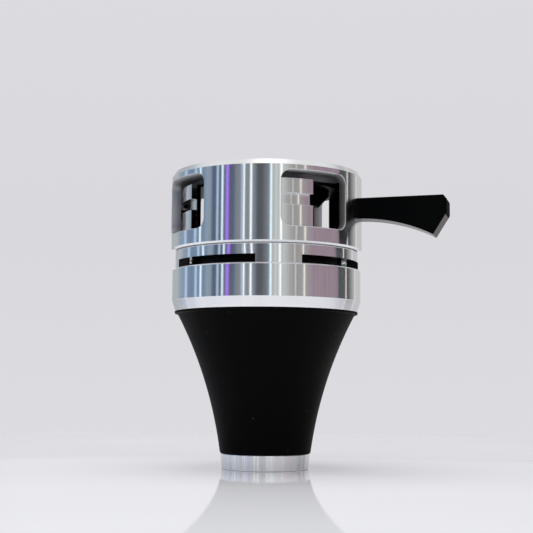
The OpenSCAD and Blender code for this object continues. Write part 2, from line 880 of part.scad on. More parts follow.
drum();
collar();
rubber_grip();
foot_ring();
hopper();
funnel_liner();
funnel_screws();
drum_screws();
outer_burr();
burr_screws();
bearing_spider();
spider_screws();
bearing_outer_race();
glide_ring();
turning_shell();
cover_plate();
cover_screws();
handle_grip();
handle_stud();
retaining_screws();
drive_shaft();
shaft_screw();
shaft_washer();
sweeper();
sweeper_pin();
bearing_inner_race();
retaining_clip();
burr_drive_pin();
burr_spring();
inner_burr();
thrust_washer();
adjusting_nut();
bearing_cage();
bearing_balls();
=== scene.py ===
"""Looks of the hand-turned glass grinder: aluminium head, black lever, rubber grip, foot ring."""

import json
import math

import bmesh
import bpy
from mathutils import Matrix, Vector

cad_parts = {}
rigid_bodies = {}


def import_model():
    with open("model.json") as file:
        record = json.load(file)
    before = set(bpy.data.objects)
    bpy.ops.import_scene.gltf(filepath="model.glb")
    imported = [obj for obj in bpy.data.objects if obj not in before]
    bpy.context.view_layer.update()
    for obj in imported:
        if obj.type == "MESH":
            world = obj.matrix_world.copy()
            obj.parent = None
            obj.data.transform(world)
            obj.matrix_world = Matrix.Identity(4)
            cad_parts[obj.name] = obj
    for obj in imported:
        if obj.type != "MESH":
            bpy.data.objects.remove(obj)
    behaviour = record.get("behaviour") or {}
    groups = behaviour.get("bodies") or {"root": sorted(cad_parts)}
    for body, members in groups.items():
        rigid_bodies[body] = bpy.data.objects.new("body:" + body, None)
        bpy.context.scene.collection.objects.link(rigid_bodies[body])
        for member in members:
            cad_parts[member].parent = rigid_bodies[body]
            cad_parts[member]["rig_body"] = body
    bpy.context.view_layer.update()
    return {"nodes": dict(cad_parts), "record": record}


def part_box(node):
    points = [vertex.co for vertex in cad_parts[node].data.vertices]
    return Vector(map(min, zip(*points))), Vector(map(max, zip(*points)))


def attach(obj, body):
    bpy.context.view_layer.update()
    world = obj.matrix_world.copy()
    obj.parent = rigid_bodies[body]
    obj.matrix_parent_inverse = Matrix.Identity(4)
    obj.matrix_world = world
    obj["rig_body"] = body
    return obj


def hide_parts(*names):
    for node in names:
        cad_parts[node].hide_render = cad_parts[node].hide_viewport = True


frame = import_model()
nodes = frame["nodes"]

MM = 0.001
STEPS = 288          # steps round a lathed piece


# ---------------------------------------------------------------- sizes, from the frame

def box_mm(node):
    """A CAD node's box in millimetres."""
    low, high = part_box(node)
    return low / MM, high / MM


shell_low, shell_high = box_mm("turning_shell")
collar_low, collar_high = box_mm("collar")
drum_low, drum_high = box_mm("drum")
grip_low, grip_high = box_mm("rubber_grip")
foot_high = box_mm("foot_ring")[1]
cover_low, cover_high = box_mm("cover_plate")
handle_low, handle_high = box_mm("handle_grip")
washer_low, washer_high = box_mm("shaft_washer")
stud_low, stud_high = box_mm("handle_stud")

QUARTER = 90         # the head and the drum repeat every quarter turn, in degrees
SHELL_WALL = 4.2
SHELL_R = shell_high.x
BORE_R = SHELL_R - SHELL_WALL
DRUM_PLAY = 0.3      # clearance of the drum in the shell, at its side and its top
CEILING_Z = drum_high.z + DRUM_PLAY
WINDOW_W, WINDOW_H, WINDOW_CORNER = 29.5, 21.8, 3.7
WINDOW_SILL = 6.45   # from the shell's lower rim up to a window
WINDOW_MID_Z = shell_low.z + WINDOW_SILL + WINDOW_H / 2
WINDOW_EDGE = 0.4
WINDOW_FLOOR_X = 30  # how deep a window reaches into the ceiling
WINDOW_AT = [QUARTER * (i + 0.5) for i in range(4)]
DRUM_GAP_AT = [QUARTER * (i - 0.25) for i in range(4)]
SLOT_H = 3.4         # height of the slots in the drum's flange
GRIP_ARC_R = 170
HANDLE_ARC_R = 68


# ---------------------------------------------------------------- mesh helpers

def rounded(corners, steps=5):
    """An outline whose corners (r, z, radius) are rounded off by arcs."""
    points = []
    count = len(corners)
    for i, (r, z, radius) in enumerate(corners):
        here = Vector((r, z))
        if radius <= 0:
            points.append(here)
            continue
        before = (Vector(corners[i - 1][:2]) - here).normalized()
        after = (Vector(corners[(i + 1) % count][:2]) - here).normalized()
        half = before.angle(after) / 2
        reach = radius / math.tan(half)
        centre = here + (before + after).normalized() * radius / math.sin(half)
        start, end = here + before * reach - centre, here + after * reach - centre
        turn = math.atan2(start.cross(end), start.dot(end))
        for k in range(steps + 1):
            angle = turn * k / steps
            c, s = math.cos(angle), math.sin(angle)
            points.append(centre + Vector((start.x * c - start.y * s, start.x * s + start.y * c)))
    return points


def new_object(name, bm):
    """An object made from a mesh in millimetres."""
    mesh = bpy.data.meshes.new(name)
    bmesh.ops.recalc_face_normals(bm, faces=bm.faces)
    bm.to_mesh(mesh)
    bm.free()
    mesh.transform(Matrix.Scale(MM, 4))
    made = bpy.data.objects.new(name, mesh)
    bpy.context.scene.collection.objects.link(made)
    return made


def lathe(name, outline, steps=STEPS):
    """A closed outline of (r, z) in millimetres turned about the Z axis."""
    bm = bmesh.new()
    rings = []
    for i in range(steps):
        angle = 2 * math.pi * i / steps
        c, s = math.cos(angle), math.sin(angle)
        rings.append([bm.verts.new((p[0] * c, p[0] * s, p[1])) for p in outline])
    for i in range(steps):
        a, b = rings[i], rings[(i + 1) % steps]
        for j in range(len(outline)):
            k = (j + 1) % len(outline)
            bm.faces.new((a[j], b[j], b[k], a[k]))
    bmesh.ops.remove_doubles(bm, verts=bm.verts, dist=1e-5)
    return new_object(name, bm)


def sector(name, r_in, r_out, z0, z1, at, wide, steps=48):
    """A solid sector of a ring, in millimetres and degrees, to cut with."""
    bm = bmesh.new()
    rows = []
    for i in range(steps + 1):
        angle = math.radians(at - wide / 2 + wide * i / steps)
        c, s = math.cos(angle), math.sin(angle)
        corners = ((r_in, z0), (r_out, z0), (r_out, z1), (r_in, z1))
        rows.append([bm.verts.new((r * c, r * s, z)) for r, z in corners])
    for a, b in zip(rows, rows[1:]):
        for j in range(4):
            k = (j + 1) % 4
            bm.faces.new((a[j], b[j], b[k], a[k]))
    bm.faces.new(rows[0])
    bm.faces.new(rows[-1])
    return new_object(name, bm)


def rod(name, radius, start, end, height, at, steps=48):
    """A rod that points outwards at an angle, in millimetres and degrees, to cut with."""
    bm = bmesh.new()
    turn = [2 * math.pi * i / steps for i in range(steps)]
    rings = [[bm.verts.new((x, radius * math.cos(a), height + radius * math.sin(a))) for a in turn]
             for x in (start, end)]
    for i in range(steps):
        k = (i + 1) % steps
        bm.faces.new((rings[0][i], rings[0][k], rings[1][k], rings[1][i]))
    for ring in rings:
        bm.faces.new(ring)
    bmesh.ops.rotate(bm, verts=bm.verts, matrix=Matrix.Rotation(math.radians(at), 3, "Z"))
    return new_object(name, bm)


def arc_between(start, end, radius, centre_side, steps=48):
    """Points of an arc between two (r, z) points; its centre lies to one side of the chord."""
    start, end = Vector(start), Vector(end)
    chord = end - start
    across = Vector((chord.y, -chord.x)).normalized() * centre_side
    centre = (start + end) / 2 + across * math.sqrt(radius ** 2 - (chord.length / 2) ** 2)
    a, b = start - centre, end - centre
    turn = math.atan2(a.cross(b), a.dot(b))
    points = []
    for k in range(steps + 1):
        c, s = math.cos(turn * k / steps), math.sin(turn * k / steps)
        points.append(centre + Vector((a.x * c - a.y * s, a.x * s + a.y * c)))
    return points


def window_loop(grow, side_steps=28, corner_steps=8):
    """The window's outline (across, up), grown by an offset, with its long sides divided."""
    w, h, r = WINDOW_W / 2 + grow, WINDOW_H / 2 + grow, WINDOW_CORNER + grow
    points = []
    for k, (sx, sz) in enumerate(((1, 1), (-1, 1), (-1, -1), (1, -1))):
        for i in range(corner_steps + 1):
            angle = math.radians(QUARTER * (k + i / corner_steps))
            points.append((sx * (w - r) + r * math.cos(angle), sz * (h - r) + r * math.sin(angle)))
        if k % 2 == 0:
            reach = (w - r) * 2
            for i in range(1, side_steps):
                points.append((sx * ((w - r) - reach * i / side_steps), sz * h))
    return points


def window_cutter(name, at):
    """A solid that cuts one window, with a rounded edge outside and a small edge break inside."""
    inner_break, past = 0.25, 0.6
    arc_end, arc_steps = math.radians(60), 6
    # levels from inside to outside: the radius, and how much the window's outline grows there
    levels = [(BORE_R - 1.5, inner_break), (BORE_R - 0.05, inner_break), (BORE_R + 0.2, 0)]
    for k in range(arc_steps + 1):
        t = arc_end * k / arc_steps
        levels.append((SHELL_R - WINDOW_EDGE * (1 - math.sin(t)), WINDOW_EDGE * (1 - math.cos(t))))
    last_r, last_grow = levels[-1]
    levels.append((last_r + past, last_grow + past * math.tan(arc_end)))
    bm = bmesh.new()
    loops = [[(WINDOW_FLOOR_X, y, z) for y, z in window_loop(levels[0][1])]]
    for radius, grow in levels:
        loops.append([(math.sqrt(radius ** 2 - y ** 2), y, z) for y, z in window_loop(grow)])
    loops.append([(SHELL_R + 6, y, z) for y, z in window_loop(levels[-1][1])])
    loops = [[bm.verts.new((x, y, WINDOW_MID_Z + z)) for x, y, z in loop] for loop in loops]
    for a, b in zip(loops, loops[1:]):
        for j in range(len(a)):
            k = (j + 1) % len(a)
            bm.faces.new((a[j], a[k], b[k], b[j]))
    bm.faces.new(loops[0])
    bm.faces.new(loops[-1])
    bmesh.ops.rotate(bm, verts=bm.verts, matrix=Matrix.Rotation(math.radians(at), 3, "Z"))
    return new_object(name, bm)


def apply_modifiers(made):
    """Replaces a mesh by what its modifiers make of it."""
    bpy.context.view_layer.update()
    evaluated = made.evaluated_get(bpy.context.evaluated_depsgraph_get())
    result = bpy.data.meshes.new_from_object(evaluated)
    made.modifiers.clear()
    made.data = result


def cut(made, cutters):
    """Takes the cutters away from a mesh, and removes them."""
    for cutter in cutters:
        modifier = made.modifiers.new("cut", "BOOLEAN")
        modifier.operation = "DIFFERENCE"
        modifier.solver = "EXACT"
        modifier.object = cutter
    apply_modifiers(made)
    for cutter in cutters:
        bpy.data.objects.remove(cutter)


def shade(made, angle=28):
    """Smooth shading that keeps edges sharper than an angle, with flat faces kept flat."""
    made.data.shade_smooth()
    made.data.set_sharp_from_angle(angle=math.radians(angle))
    modifier = made.modifiers.new("normals", "WEIGHTED_NORMAL")
    modifier.keep_sharp = True
    modifier.weight = 80


def bevel(made, width, segments=2, angle=35):
    """Rounds off edges sharper than an angle, by a width in millimetres."""
    modifier = made.modifiers.new("bevel", "BEVEL")
    modifier.width = width * MM
    modifier.segments = segments
    modifier.limit_method = "ANGLE"
    modifier.angle_limit = math.radians(angle)


# ---------------------------------------------------------------- material helpers

class Nodes:
    """A short way to add and join shader nodes in one tree."""

    def __init__(self, tree):
        self.tree = tree
        tree.nodes.clear()

    def add(self, kind, inputs=None, **settings):
        """A new node with its settings, and its inputs set to values or joined to sockets."""
        node = self.tree.nodes.new("ShaderNode" + kind)
        for key, value in settings.items():
            setattr(node, key, value)
        for key, value in (inputs or {}).items():
            self.set(node, key, value)
        return node

    def set(self, node, key, value):
        if isinstance(value, bpy.types.NodeSocket):
            self.tree.links.new(value, node.inputs[key])
        else:
            node.inputs[key].default_value = value

    def math(self, operation, a, b=0.0):
        return self.add("Math", {0: a, 1: b}, operation=operation).outputs[0]

    def ramp(self, value, stops, interpolation="LINEAR"):
        node = self.add("ValToRGB", {0: value})
        ramp = node.color_ramp
        ramp.interpolation = interpolation
        ramp.elements.remove(ramp.elements[1])
        ramp.elements[0].position = stops[0][0]
        ramp.elements[0].color = (*stops[0][1], 1)
        for position, colour in stops[1:]:
            ramp.elements.new(position).color = (*colour, 1)
        return node.outputs[0]

    def scale(self, value, low, high, to_low=0.0, to_high=1.0, smooth=False):
        """A value mapped from one range to another and held at its ends."""
        kind = "SMOOTHSTEP" if smooth else "LINEAR"
        node = self.add("MapRange", {0: value, 1: low, 2: high, 3: to_low, 4: to_high},
                        interpolation_type=kind)
        return node.outputs[0]

    def between(self, value, low_mm, high_mm):
        """One where a length lies between two limits in millimetres, or else zero."""
        return self.math("MULTIPLY", self.math("GREATER_THAN", value, low_mm * MM),
                         self.math("LESS_THAN", value, high_mm * MM))

    def mix(self, factor, a, b, blend="MIX"):
        node = self.add("Mix", {0: factor, 6: a, 7: b}, data_type="RGBA", blend_type=blend)
        return node.outputs[2]

    def noise(self, vector, scale, detail=2.0, roughness=0.5):
        node = self.add("TexNoise", {"Vector": vector, "Scale": scale, "Detail": detail,
                                     "Roughness": roughness})
        return node.outputs[0]


def rgb(r, g=None, b=None):
    """A linear colour from sRGB values between 0 and 255."""
    values = (r, r, r) if g is None else (r, g, b)
    return tuple(v / 255 / 12.92 if v < 10.4 else ((v / 255 + 0.055) / 1.055) ** 2.4 for v in values)


def toned(colour, factor):
    """A colour made darker or lighter, with its alpha."""
    return (*[min(1, c * factor) for c in colour], 1)


def material(name, constants):
    """A material with one Principled shader, whose constants are set on its own sockets."""
    made = bpy.data.materials.new(name)
    made.use_nodes = True
    n = Nodes(made.node_tree)
    shader = n.add("BsdfPrincipled", constants)
    output = n.add("OutputMaterial")
    n.tree.links.new(shader.outputs[0], output.inputs[0])
    return made, n, shader


def milled_walls(n, radius, z):
    """One on the walls of the windows, and on their roof above the ceiling."""
    window_low, window_top = WINDOW_MID_Z - WINDOW_H / 2 - 0.5, WINDOW_MID_Z + WINDOW_H / 2 + 0.3
    side = n.math("MULTIPLY", n.between(radius, BORE_R + 0.1, SHELL_R - 0.05),
                  n.between(z, window_low, window_top))
    roof = n.math("MULTIPLY", n.between(radius, WINDOW_FLOOR_X - 1, SHELL_R - 1),
                  n.between(z, CEILING_Z + 0.05, window_top))
    return n.math("MAXIMUM", side, roof)


def painted_shade_inside(n, radius, z):
    """One on the bores and the ceiling of the grinding chamber, and inside the flange's slots, which
    are painted almost black as painted shade.
    """
    skin = 0.08          # a point this near to a wall counts as on it
    bores = n.math("MAXIMUM", n.between(radius, 26, BORE_R - 2.85),
                   n.between(radius, BORE_R - skin, BORE_R + skin))
    ceiling = n.math("MULTIPLY", n.between(radius, 0, BORE_R + 0.1),
                     n.between(z, CEILING_Z - 0.1, CEILING_Z + 0.1))
    chamber = n.math("MULTIPLY", n.math("MAXIMUM", bores, ceiling),
                     n.between(z, drum_low.z + 1, CEILING_Z + 0.1))
    slots = n.math("MULTIPLY", n.between(radius, 30, drum_high.x - skin),
                   n.between(z, drum_low.z + 0.05, drum_low.z + SLOT_H + 0.05))
    return n.math("MAXIMUM", chamber, slots)


def turned_metal(name, colour, roughness, pitch_mm, depth, head=False):
    """Metal cut on a lathe: fine rings round the axis, with reflections drawn out across them.

    For the head, the walls of the windows are milled and painted darker towards the bore as painted
    shade, and the chamber's bores and ceiling and the flange's slots are painted almost black as
    painted shade."""
    made, n, shader = material(name, {"Metallic": 1.0, "Anisotropic": 1.0,
                                      "Anisotropic Rotation": 0.25})
    place = n.add("TexCoord").outputs["Object"]
    x, y, z = n.add("SeparateXYZ", {0: place}).outputs
    radius = n.math("SQRT", n.math("ADD", n.math("MULTIPLY", x, x), n.math("MULTIPLY", y, y)))
    # the cut runs along z on walls and along the radius on faces, so their sum works for both
    along = n.add("CombineXYZ", {0: n.math("ADD", z, radius)}).outputs[0]
    rings = n.noise(along, 1 / (pitch_mm * MM), 3.0, 0.6)
    coarse = n.noise(along, 1 / (pitch_mm * 9 * MM), 2.0)
    blotch = n.noise(place, 60.0, 3.0)
    tone = n.mix(n.math("MULTIPLY", n.math("ADD", rings, coarse), 0.5),
                 toned(colour, 0.97), toned(colour, 1.03))
    tone = n.mix(n.scale(blotch, 0.35, 0.7, 0.0, 0.3), tone, toned(colour, 0.93))
    rough = n.math("ADD", n.scale(rings, 0.3, 0.7, roughness * 0.94, roughness * 1.06),
                   n.scale(blotch, 0.3, 0.7, -0.01, 0.015))
    if head:
        wall, painted_shade = milled_walls(n, radius, z), painted_shade_inside(n, radius, z)
        grain = n.noise(place, 1300.0, 3.0)
        # painted shade: the milled walls are painted darker towards the bore, and their roof inside
        # the ceiling darkest
        painted_shade_by_depth = n.scale(radius, BORE_R * MM, (SHELL_R - WINDOW_EDGE) * MM, 0.24, 0.7)
        milled = n.mix(painted_shade_by_depth, (0, 0, 0, 1), toned(colour, 1))
        tone = n.mix(wall, tone, milled)
        rough = n.math("ADD", rough, n.math("MULTIPLY", wall, n.scale(grain, 0.3, 0.7, 0.22, 0.32)))
        n.set(shader, "Metallic", n.scale(wall, 0, 1, 1.0, 0.55))
        # painted shade: the chamber's bores and ceiling and the flange's slots are painted almost
        # black
        tone = n.mix(painted_shade, tone, toned(colour, 0.05))
    n.set(shader, "Base Color", tone)
    n.set(shader, "Roughness", rough)
    bump = n.add("Bump", {"Height": n.math("ADD", rings, n.math("MULTIPLY", coarse, 0.4)),
                          "Strength": depth, "Distance": 0.00001})
    n.set(shader, "Normal", bump.outputs[0])
    tangent = n.add("Tangent", direction_type="RADIAL", axis="Z")
    n.set(shader, "Tangent", tangent.outputs[0])
    return made


def ground_steel(name, colour, roughness, grain=900.0, strength=0.15):
    """Plain machined or ground steel with a fine even grain."""
    made, n, shader = material(name, {"Metallic": 1.0})
    place = n.add("TexCoord").outputs["Object"]
    fine = n.noise(place, grain, 4.0, 0.6)
    large = n.noise(place, grain / 9, 2.0)
    n.set(shader, "Base Color", n.mix(large, toned(colour, 0.85), toned(colour, 1)))
    n.set(shader, "Roughness", n.scale(fine, 0.3, 0.7, roughness * 0.8, roughness * 1.2))
    bump = n.add("Bump", {"Height": fine, "Strength": strength, "Distance": 0.00003})
    n.set(shader, "Normal", bump.outputs[0])
    return made


def plastic(name, colour, roughness, specular, grain=700.0, strength=0.1, dull_from=None):
    """Moulded plastic with a fine surface grain and faint flow marks, dull past a length along X."""
    made, n, shader = material(name, {"Specular IOR Level": specular})
    place = n.add("TexCoord").outputs["Object"]
    fine = n.noise(place, grain, 3.0, 0.55)
    flow = n.noise(place, 45.0, 2.0)
    n.set(shader, "Base Color", n.mix(flow, toned(colour, 1), toned(colour, 1.2)))
    rough = n.math("ADD", n.scale(fine, 0.3, 0.7, roughness * 0.9, roughness * 1.1),
                   n.scale(flow, 0.3, 0.7, -0.02, 0.02))
    if dull_from is not None:
        x = n.add("SeparateXYZ", {0: place}).outputs[0]
        dull = n.scale(x, dull_from * MM, (dull_from + 0.3) * MM, 0.0, 0.75)
        rough = n.math("MAXIMUM", rough, dull)
    n.set(shader, "Roughness", rough)
    bump = n.add("Bump", {"Height": fine, "Strength": strength, "Distance": 0.00004})
    n.set(shader, "Normal", bump.outputs[0])
    return made


def rubber(name):
    """Soft-touch black rubber: matt, faintly pebbled, with a few specks of dust."""
    made, n, shader = material(name, {"Specular IOR Level": 0.06, "Sheen Weight": 0.003,
                                      "Sheen Roughness": 0.45})
    place = n.add("TexCoord").outputs["Object"]
    pebble = n.noise(place, 1500.0, 3.0, 0.6)
    wear = n.noise(place, 38.0, 4.0)
    specks = n.add("TexVoronoi", {"Vector": place, "Scale": 210.0}, feature="F1").outputs[0]
    dust = n.math("MULTIPLY", n.scale(specks, 0.05, 0.1, 1.0, 0.0),
                  n.scale(n.noise(place, 75.0, 2.0), 0.5, 0.56, 0.0, 1.0))
    black = n.mix(wear, (*rgb(0.5), 1), (*rgb(2), 1))
    n.set(shader, "Base Color", n.mix(n.math("MULTIPLY", dust, 0.3), black, (*rgb(85), 1)))
    n.set(shader, "Roughness", n.scale(wear, 0.3, 0.7, 0.52, 0.62))
    bump = n.add("Bump", {"Height": n.math("ADD", pebble, dust), "Strength": 0.2,
                          "Distance": 0.00005})
    n.set(shader, "Normal", bump.outputs[0])
    return made


MATERIALS = {
    "turned_aluminium": turned_metal("turned_aluminium", rgb(247, 248, 250), 0.125, 0.16, 0.25, True),
    "grip_rubber": rubber("grip_rubber"),
    "handle_black": plastic("handle_black", rgb(1), 0.16, 0.05, 300.0, 0.03, handle_high.x - 0.7),
    "black_nylon": plastic("black_nylon", rgb(5), 0.36, 0.1),
    "white_nylon": plastic("white_nylon", rgb(228, 228, 224), 0.4, 0.4),
    "screw_steel": ground_steel("screw_steel", rgb(176, 177, 180), 0.3),
    "shaft_steel": ground_steel("shaft_steel", rgb(205, 206, 209), 0.2, 1400.0, 0.08),
    "burr_steel": ground_steel("burr_steel", rgb(150, 150, 154), 0.38),
    "bearing_steel": ground_steel("bearing_steel", rgb(214, 215, 218), 0.1, 600.0, 0.03),
    "spring_steel": ground_steel("spring_steel", rgb(168, 169, 172), 0.26),
    "bronze": turned_metal("bronze", rgb(206, 170, 112), 0.24, 0.2, 0.25),
}
slot_of = {row["node"]: row["material_slot"] for row in frame["record"]["subparts"]}


def paint(made, slot_name):
    """Gives an object the material of a slot, and no other."""
    made.data.materials.clear()
    made.data.materials.append(MATERIALS[slot_name])


def stand_for(made, node):
    """Puts a finished piece in the place of a CAD node: its body, its slot and its material."""
    paint(made, slot_of[node])
    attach(made, nodes[node]["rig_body"])
    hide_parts(node)


# ---------------------------------------------------------------- pieces

def make_shell():
    """The shell with its bore, cover seat and washer seat, the four windows and two tapped holes."""
    top, low, rim, corner_r, corner_h = shell_high.z, shell_low.z, 0.7, 1.1, 2.1
    seat_r = cover_high.x + 0.1
    washer_r = washer_high.x + 0.1
    spigot_r = 4
    shell = lathe("turning_shell_body", rounded([
        (spigot_r, CEILING_Z, 0), (BORE_R, CEILING_Z, 0.5), (BORE_R, low + 0.4, 0.1),
        (BORE_R + 0.4, low, 0.1), (SHELL_R - rim, low, 0.12), (SHELL_R, low + rim, 0.15),
        (SHELL_R, top - corner_h, 0.2), (SHELL_R - corner_r, top, 0.2), (seat_r, top, 0.15),
        (seat_r, cover_low.z, 0), (washer_r, cover_low.z, 0), (washer_r, washer_low.z, 0),
        (spigot_r, washer_low.z, 0)]))
    screw_r, groove_z = 2.5, (stud_low.z + stud_high.z) / 2
    windows = [window_cutter("window", at) for at in WINDOW_AT]
    holes = [rod("tapped_hole", screw_r, BORE_R - 2, SHELL_R + 2, groove_z, at)
             for at in (QUARTER, 2 * QUARTER)]
    cut(shell, windows + holes)
    shade(shell)
    stand_for(shell, "turning_shell")


def make_drum():
    """The drum: four prongs with a groove round them, and a slotted flange with a ring seat on top."""
    top, low, flange_r = drum_high.z, drum_low.z, drum_high.x
    prong_r, bore_r, flange_z = BORE_R - DRUM_PLAY, BORE_R - 4.4, shell_low.z - 0.25
    flange_bore_r, prong_z, gap_wide, slot_wide = flange_r - 4.7, 95, 43, 62.5
    seat_in, seat_out, seat_z = 36.1, 37.9, flange_z - 0.8
    groove_mid, groove_half, groove_r = 106.7, 2.2, BORE_R - 2.7
    groove_low, groove_top = groove_mid - groove_half, groove_mid + groove_half
    drum = lathe("drum_body", rounded([
        (flange_bore_r, low, 0), (flange_r, low, 0.12), (flange_r, flange_z, 0.3),
        (seat_out, flange_z, 0), (seat_out, seat_z, 0), (seat_in, seat_z, 0),
        (seat_in, flange_z, 0), (prong_r, flange_z, 0.2), (prong_r, groove_low, 0.18),
        (groove_r, groove_low, 0.25), (groove_r, groove_top, 0.25),
        (prong_r, groove_top, 0.18), (prong_r, top, 0.3), (bore_r, top, 0.15),
        (bore_r, flange_z - 1.5, 0), (flange_bore_r, flange_z - 3.5, 0)]))
    gaps = [sector("gap", bore_r - 1, prong_r + 1, prong_z, top + 1, at, gap_wide)
            for at in DRUM_GAP_AT]
    slots = [sector("slot", flange_r - 6, flange_r + 1, low - 1, low + SLOT_H, at, slot_wide)
             for at in DRUM_GAP_AT]
    cut(drum, gaps + slots)
    bevel(drum, 0.15, 2, 55)
    shade(drum)
    stand_for(drum, "drum")


def make_collar():
    """The collar, with a steep chamfer below and a step in its bore."""
    top, low, out = collar_high.z, collar_low.z, collar_high.x
    bore_r, step_r, step_z, low_r, chamfer_z, rim = 25, 30, top - 2.7, 38, low + 4, 0.5
    collar = lathe("collar_body", rounded([
        (bore_r, low, 0), (low_r, low, 0.15), (out - 0.1, chamfer_z, 0.15),
        (out, chamfer_z + 0.2, 0.1), (out, top - rim, 0.12), (out - rim, top, 0.12),
        (step_r, top, 0.1), (step_r, step_z, 0), (bore_r, step_z, 0)]))
    shade(collar)
    stand_for(collar, "collar")


def make_grip():
    """The hollow curve of the grip with its wall, and a small lip at the top."""
    foot_z, top_z, wall = grip_low.z, grip_high.z, 2.5
    foot_r, top_r, lip_r = 18.65, 37.3, grip_high.x
    side = arc_between((foot_r, foot_z), (top_r, top_z), GRIP_ARC_R, 1, 90)
    inner = arc_between((foot_r - wall, foot_z), (top_r - wall, top_z), GRIP_ARC_R + wall, 1, 30)
    outer = [point for point in side if foot_z + 0.45 < point.y < top_z - 1.15]
    foot_edge = [(foot_r - 0.45, foot_z), (foot_r - 0.15, foot_z + 0.08), (foot_r, foot_z + 0.3)]
    lip = [(lip_r - 0.15, top_z - 0.85), (lip_r, top_z - 0.55), (lip_r, top_z)]
    outline = [Vector(p) for p in foot_edge] + outer + [Vector(p) for p in lip] + inner[::-1]
    grip = lathe("rubber_grip_body", outline)
    shade(grip)
    stand_for(grip, "rubber_grip")


def make_foot_ring():
    """The foot ring, a little wider at its top, with the spigot that goes up into the grip."""
    top, base_r, out, bore_r, spigot_r = 6.4, 17.9, foot_high.x, 14.2, 15.3
    ring = lathe("foot_ring_body", rounded([
        (bore_r, 0, 0.3), (base_r, 0, 0.55), (out, top, 0.35), (spigot_r, top, 0),
        (spigot_r, foot_high.z, 0.1), (bore_r, foot_high.z, 0.3)]))
    shade(ring)
    stand_for(ring, "foot_ring")


def make_handle():
    """The lever: a flat-topped bar with a hollow underside, wider at its end, all edges broken."""
    root, reach, top, low = SHELL_R - 1.5, handle_high.x, handle_high.z, handle_low.z
    half_tip, half_root = handle_high.y, 4.8
    corner_x, under_z = reach - 5.5, low + 7.4
    # the end leans out up to end_low_z, stands upright to end_top_z, and leans in to the top
    end_low_z, end_top_z, top_end_x = low + 8.8, top - 1.7, reach - 1.3
    under = arc_between((SHELL_R - 0.6, under_z), (corner_x, low), HANDLE_ARC_R, 1, 36)
    nose = rounded([(corner_x, low, 0.4), (reach, end_low_z, 0.9), (reach, end_top_z, 0.6),
                    (top_end_x, top, 0.6), (root, top, 0), (root, under_z, 0)])
    outline = under[:-2] + nose[:-2] + [Vector((root, top)), Vector((root, under_z))]
    bm = bmesh.new()
    taper = (half_tip - half_root) / (reach - root)
    sides = [[bm.verts.new((p.x, sign * (half_root + taper * (p.x - root)), p.y)) for p in outline]
             for sign in (-1, 1)]
    for i in range(len(outline)):
        k = (i + 1) % len(outline)
        bm.faces.new((sides[0][i], sides[0][k], sides[1][k], sides[1][i]))
    for side in sides:
        bm.faces.new(side)
    handle = new_object("handle_grip_body", bm)
    bevel(handle, 1.2, 4, 60)
    apply_modifiers(handle)
    saddle_r, past = SHELL_R + 0.02, 20
    saddle = [(0, low - past), (saddle_r, low - past), (saddle_r, top + past), (0, top + past)]
    cut(handle, [lathe("saddle", saddle)])
    shade(handle, 40)
    stand_for(handle, "handle_grip")


make_shell()
make_drum()
make_collar()
make_grip()
make_foot_ring()
make_handle()
for node_name, cad_object in nodes.items():
    paint(cad_object, slot_of[node_name])


# ---------------------------------------------------------------- table, camera, light

VIEW_AZ = 15.3       # degrees from -Y towards +X
VIEW_DISTANCE = 0.4537
VIEW_HEIGHT = 0.0367
VIEW_PITCH = 5.88
VIEW_ROLL = 0.42
LENS, SENSOR = 73.57, 36  # millimetres


def make_camera():
    """The photo's view, from a little below the head."""
    data = bpy.data.cameras.new("camera")
    data.lens = LENS
    data.sensor_width = SENSOR
    camera = bpy.data.objects.new("camera", data)
    bpy.context.scene.collection.objects.link(camera)
    az = math.radians(VIEW_AZ)
    place = Vector((math.sin(az) * VIEW_DISTANCE, -math.cos(az) * VIEW_DISTANCE, VIEW_HEIGHT))
    turn = (Matrix.Rotation(az, 4, "Z") @ Matrix.Rotation(math.radians(90 + VIEW_PITCH), 4, "X")
            @ Matrix.Rotation(math.radians(VIEW_ROLL), 4, "Z"))
    camera.matrix_world = Matrix.Translation(place) @ turn
    bpy.context.scene.camera = camera


def make_table():
    """A white glossy table top whose back edge lies a little behind the object."""
    half, thick, edge = 307.0, 24.0, 2.0
    bm = bmesh.new()
    bmesh.ops.create_cube(bm, size=1)
    bmesh.ops.scale(bm, vec=(2 * half, 2 * half, thick), verts=bm.verts)
    bmesh.ops.translate(bm, vec=(0, 0, -thick / 2), verts=bm.verts)
    bmesh.ops.rotate(bm, verts=bm.verts, matrix=Matrix.Rotation(math.radians(VIEW_AZ), 3, "Z"))
    table = new_object("table", bm)
    bevel(table, edge, 3)
    table.data.shade_smooth()
    made, n, shader = material("table_top", {"Specular IOR Level": 0.06})
    place = n.add("TexCoord").outputs["Object"]
    haze = n.noise(place, 9.0, 3.0)
    n.set(shader, "Base Color", n.mix(haze, (*rgb(236, 237, 241), 1), (*rgb(240, 240, 244), 1)))
    n.set(shader, "Roughness", n.scale(haze, 0.3, 0.7, 0.05, 0.08))
    table.data.materials.append(made)


WALL = rgb(217, 216, 221)
HAZE = rgb(172, 177, 181)
SKY = rgb(138, 154, 170)
BLUE = rgb(116, 134, 158)
INK = rgb(80, 89, 110)
SLATE = rgb(124, 131, 140)
DEEP = rgb(78, 82, 86)
PALE = rgb(186, 188, 186)
STONE = rgb(153, 151, 149)
MAUVE = rgb(147, 130, 140)
LINEN = rgb(195, 192, 194)
